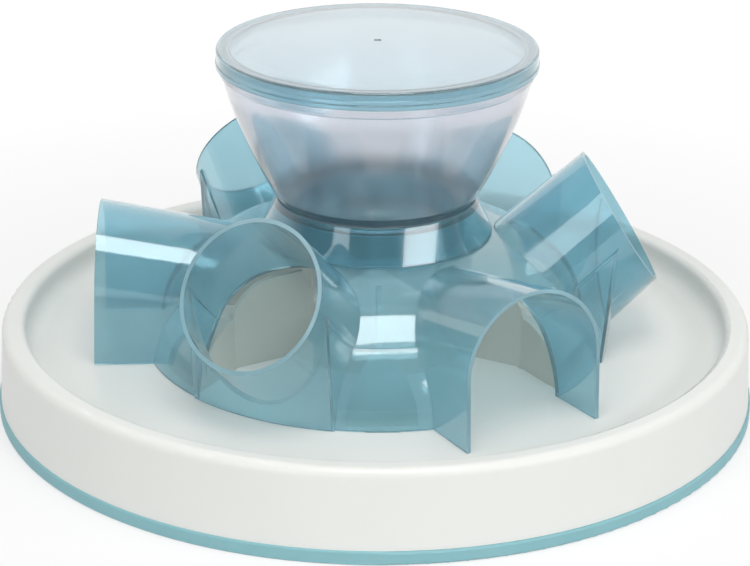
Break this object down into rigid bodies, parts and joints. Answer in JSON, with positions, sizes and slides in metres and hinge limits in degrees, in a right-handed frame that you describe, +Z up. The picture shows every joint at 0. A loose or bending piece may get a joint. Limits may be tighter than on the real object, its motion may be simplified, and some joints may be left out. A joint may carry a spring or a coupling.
{
  "type": "cat puzzle feeder",
  "caption": "Round tray on a rubber ring with a translucent hood of low arches and raised tubes, and a lidded hopper bowl that drops dry food onto a cone between chambers.",
  "frame": {"origin": "centre of the underside, on the surface the feeder stands on", "axes": "+Z up along the feeder's middle line, +X along the raised tube on the right, +Y to the rear"},
  "size_m": [0.39, 0.39, 0.1887],
  "materials": {
    "teal_rubber": "soft matt teal rubber",
    "white_plastic": "smooth white moulded plastic with a soft sheen",
    "teal_plastic": "polished translucent teal blue plastic",
    "clear_plastic": "lightly frosted clear plastic",
    "tinted_clear_plastic": "clear plastic with a pale teal tint, deeper at the skirt"
  },
  "bodies": {
    "base": {"non_slip_ring": "teal_rubber", "base_tray": "white_plastic", "chamber_divider": "white_plastic"},
    "hood": {"hood_dome": "teal_plastic", "raised_tube_right": "teal_plastic", "raised_tube_rear": "teal_plastic", "raised_tube_front": "teal_plastic", "arch_tunnel_rear": "teal_plastic", "arch_tunnel_left": "teal_plastic", "arch_tunnel_front": "teal_plastic"},
    "bowl": {"bowl_collar": "teal_plastic", "food_bowl": "clear_plastic"},
    "lid": {"bowl_lid": "tinted_clear_plastic"}
  },
  "joints": [
    {"name": "hood_lift", "type": "slide", "parent": "base", "child": "hood", "axis": [0, 0, 1], "range_m": [0, 0.06]},
    {"name": "bowl_lift", "type": "slide", "parent": "hood", "child": "bowl", "axis": [0, 0, 1], "range_m": [0, 0.04]},
    {"name": "lid_lift", "type": "slide", "parent": "bowl", "child": "lid", "axis": [0, 0, 1], "range_m": [0, 0.03]}
  ]
}
